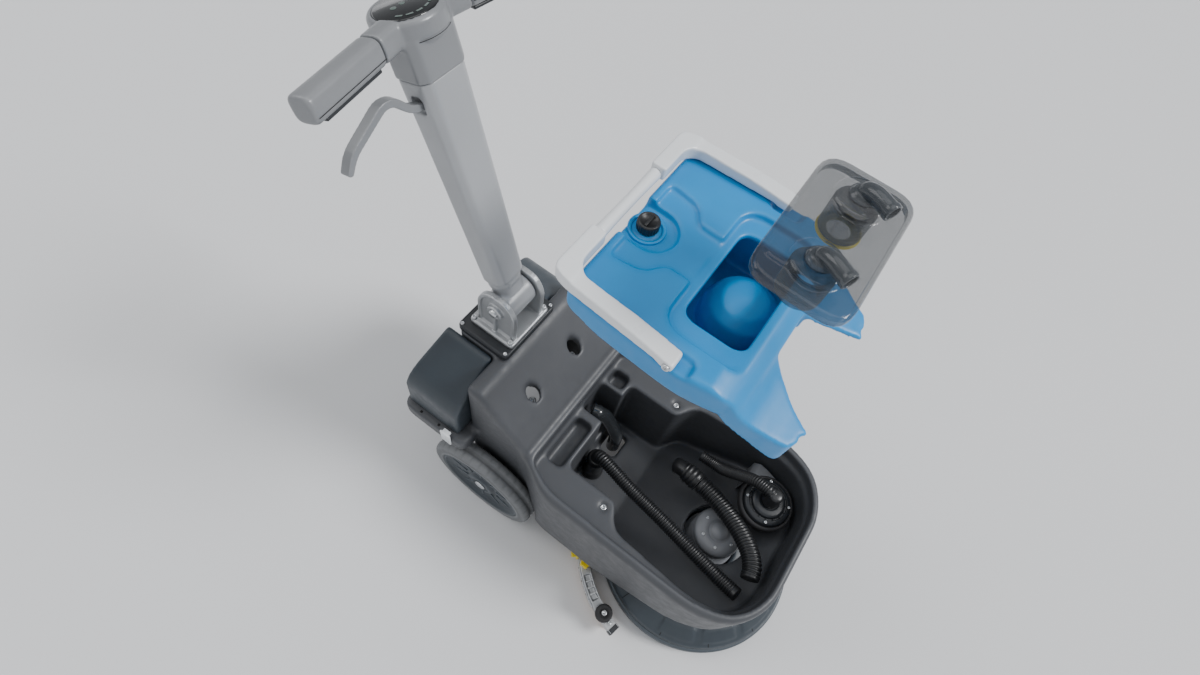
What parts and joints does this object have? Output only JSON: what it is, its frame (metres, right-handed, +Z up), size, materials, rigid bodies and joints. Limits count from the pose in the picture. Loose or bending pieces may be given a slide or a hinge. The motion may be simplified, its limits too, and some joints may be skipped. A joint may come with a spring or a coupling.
{
  "type": "walk-behind floor scrubber drier",
  "caption": "Compact walk-behind floor scrubber drier with a round brush deck, curved squeegee, tilting mast, and its tank and clear lid lifted off the chassis.",
  "frame": {"origin": "on the floor, under the middle of the machine's length and width", "axes": "-Y is the machine's front, +X its left, +Z up"},
  "size_m": [0.5198, 0.9438, 1.0868],
  "materials": {
    "chassis_plastic": "fine-grained moulded shell",
    "light_lens": "frosted light strip",
    "slate_plastic": "blue-grey moulded plastic",
    "dark_plastic": "dark moulded plastic",
    "white_plastic": "off-white satin",
    "cast_aluminium": "cast, lightly sand-blasted",
    "steel": "zinc-plated",
    "light_grey_plastic": "light grey moulded",
    "black_rubber": "black rubber",
    "hose_black": "black corrugated hose",
    "brush_fibre": "nylon bristle tufts",
    "squeegee_rubber": "tan natural rubber",
    "yellow_plastic": "yellow touch points",
    "wheel_rubber": "grey non-marking rubber",
    "mast_paint": "satin light grey powder coat",
    "display_glass": "dark glossy lens",
    "tank_blue": "blue rotationally moulded",
    "smoky_clear": "smoky clear moulded"
  },
  "bodies": {
    "chassis": {"chassis_tub": "chassis_plastic", "front_light_strip": "light_lens", "centre_plate": "slate_plastic", "mast_bracket": "cast_aluminium", "hinge_pin": "steel", "bracket_screw_1": "steel", "bracket_screw_2": "steel", "bracket_screw_3": "steel", "bracket_screw_4": "steel", "axle": "steel", "brush_motor": "light_grey_plastic", "motor_cradle": "light_grey_plastic", "vac_motor": "dark_plastic", "vac_motor_seal": "black_rubber", "long_hose": "hose_black", "loop_hose": "hose_black", "hose_cuff": "hose_black", "motor_hose": "hose_black", "suction_elbow": "dark_plastic", "deck_cover": "slate_plastic", "deck_skirt": "dark_plastic", "ledge_screw_right": "steel", "ledge_screw_left": "steel"},
    "battery_latch": {"battery_latch_right": "white_plastic"},
    "battery_right": {"battery_box_right": "slate_plastic"},
    "battery_left": {"battery_box_left": "slate_plastic"},
    "wheel_right": {"tyre_right": "wheel_rubber", "wheel_hub_right": "slate_plastic"},
    "wheel_left": {"tyre_left": "wheel_rubber", "wheel_hub_left": "slate_plastic"},
    "brush": {"brush_disc": "slate_plastic", "brush_bristles": "brush_fibre"},
    "squeegee_carrier": {"squeegee_carrier": "cast_aluminium"},
    "squeegee": {"squeegee_bar": "cast_aluminium", "squeegee_blade": "squeegee_rubber"},
    "knob_right": {"squeegee_knob_right": "yellow_plastic"},
    "knob_left": {"squeegee_knob_left": "yellow_plastic"},
    "blade_latch_right": {"squeegee_latch_right": "yellow_plastic"},
    "blade_latch_left": {"squeegee_latch_left": "yellow_plastic"},
    "bumper_right": {"bumper_wheel_right": "black_rubber"},
    "bumper_left": {"bumper_wheel_left": "black_rubber"},
    "mast": {"mast_tube": "mast_paint", "head_housing": "mast_paint", "display_lens": "display_glass", "grip_right": "mast_paint", "grip_left": "mast_paint"},
    "trigger_right": {"trigger_right": "dark_plastic"},
    "trigger_left": {"trigger_left": "dark_plastic"},
    "release_lever": {"release_lever": "mast_paint"},
    "tank": {"tank_shell": "tank_blue"},
    "filler_cap": {"filler_cap": "hose_black"},
    "tank_handle": {"handle_arm_right": "white_plastic", "handle_arm_left": "white_plastic", "handle_grip": "white_plastic"},
    "lid": {"lid_cover": "smoky_clear", "filter_cup_right": "smoky_clear", "filter_cup_left": "smoky_clear", "cup_gasket_left": "yellow_plastic"},
    "elbow_right": {"lid_elbow_right": "smoky_clear"},
    "elbow_left": {"lid_elbow_left": "smoky_clear"}
  },
  "joints": [
    {"name": "wheel_right_spin", "type": "hinge", "parent": "chassis", "child": "wheel_right", "pos_m": [-0.18, 0.1941, 0.125], "axis": [1, 0, 0], "continuous": true},
    {"name": "wheel_left_spin", "type": "hinge", "parent": "chassis", "child": "wheel_left", "pos_m": [0.18, 0.1941, 0.125], "axis": [1, 0, 0], "continuous": true},
    {"name": "brush_spin", "type": "hinge", "parent": "chassis", "child": "brush", "pos_m": [0, -0.2599, 0.04], "axis": [0, 0, 1], "continuous": true},
    {"name": "squeegee_swing", "type": "hinge", "parent": "chassis", "child": "squeegee_carrier", "pos_m": [0, -0.2599, 0.088], "axis": [0, 0, 1], "range_deg": [-15, 15]},
    {"name": "squeegee_lift", "type": "slide", "parent": "squeegee_carrier", "child": "squeegee", "axis": [0, 0, 1], "range_m": [0, 0.018]},
    {"name": "squeegee_knob_right_turn", "type": "hinge", "parent": "squeegee", "child": "knob_right", "pos_m": [-0.18031, -0.07959, 0.067], "axis": [0, 0, 1], "continuous": true},
    {"name": "blade_latch_right_flip", "type": "hinge", "parent": "squeegee", "child": "blade_latch_right", "pos_m": [-0.17278, -0.05399, 0.038], "axis": [-0.766, -0.6428, 0], "range_deg": [0, 50]},
    {"name": "bumper_right_spin", "type": "hinge", "parent": "squeegee", "child": "bumper_right", "pos_m": [-0.23806, -0.16852, 0.07], "axis": [0, 0, 1], "continuous": true},
    {"name": "squeegee_knob_left_turn", "type": "hinge", "parent": "squeegee", "child": "knob_left", "pos_m": [0.18031, -0.07959, 0.067], "axis": [0, 0, 1], "continuous": true},
    {"name": "blade_latch_left_flip", "type": "hinge", "parent": "squeegee", "child": "blade_latch_left", "pos_m": [0.17278, -0.05399, 0.038], "axis": [-0.766, 0.6428, 0], "range_deg": [0, 50]},
    {"name": "bumper_left_spin", "type": "hinge", "parent": "squeegee", "child": "bumper_left", "pos_m": [0.23806, -0.16852, 0.07], "axis": [0, 0, 1], "continuous": true},
    {"name": "mast_tilt", "type": "hinge", "parent": "chassis", "child": "mast", "pos_m": [0, 0.2744, 0.5605], "axis": [1, 0, 0], "range_deg": [-40, 20]},
    {"name": "trigger_right_squeeze", "type": "hinge", "parent": "mast", "child": "trigger_right", "pos_m": [-0.08021, 0.40105, 0.99251], "axis": [-0.2079, 0.9303, -0.3023], "range_deg": [0, 4], "stiffness_Nm_per_rad": 0.3},
    {"name": "trigger_left_squeeze", "type": "hinge", "parent": "mast", "child": "trigger_left", "pos_m": [0.08021, 0.40105, 0.99251], "axis": [-0.2079, -0.9303, 0.3023], "range_deg": [0, 4], "stiffness_Nm_per_rad": 0.3},
    {"name": "release_lever_squeeze", "type": "hinge", "parent": "mast", "child": "release_lever", "pos_m": [-0.034, 0.39013, 0.91667], "axis": [0, 0.9511, -0.309], "range_deg": [0, 12], "stiffness_Nm_per_rad": 1},
    {"name": "battery_latch_flip", "type": "hinge", "parent": "chassis", "child": "battery_latch", "pos_m": [-0.1985, 0.2701, 0.276], "axis": [0, -1, 0], "range_deg": [0, 60]},
    {"name": "battery_right_lift", "type": "slide", "parent": "chassis", "child": "battery_right", "axis": [0, 0, 1], "range_m": [0, 0.1]},
    {"name": "battery_left_lift", "type": "slide", "parent": "chassis", "child": "battery_left", "axis": [0, 0, 1], "range_m": [0, 0.1]},
    {"name": "tank_lift", "type": "slide", "parent": "chassis", "child": "tank", "axis": [0, 0, 1], "range_m": [-0.555, 0]},
    {"name": "filler_cap_turn", "type": "hinge", "parent": "tank", "child": "filler_cap", "pos_m": [0, 0.0781, 0.92], "axis": [0, 0, 1], "range_deg": [0, 120]},
    {"name": "tank_handle_swing", "type": "hinge", "parent": "tank", "child": "tank_handle", "pos_m": [0, -0.0359, 0.93], "axis": [1, 0, 0], "range_deg": [0, 80]},
    {"name": "lid_slide", "type": "slide", "parent": "tank", "child": "lid", "axis": [0, -0.323, 0.9464], "range_m": [-0.1331, 0]},
    {"name": "elbow_right_swivel", "type": "hinge", "parent": "lid", "child": "elbow_right", "pos_m": [-0.047, -0.0969, 1.07], "axis": [0, 0, 1], "range_deg": [-50, 50]},
    {"name": "elbow_left_swivel", "type": "hinge", "parent": "lid", "child": "elbow_left", "pos_m": [0.047, -0.0969, 1.07], "axis": [0, 0, 1], "range_deg": [-50, 50]}
  ]
}
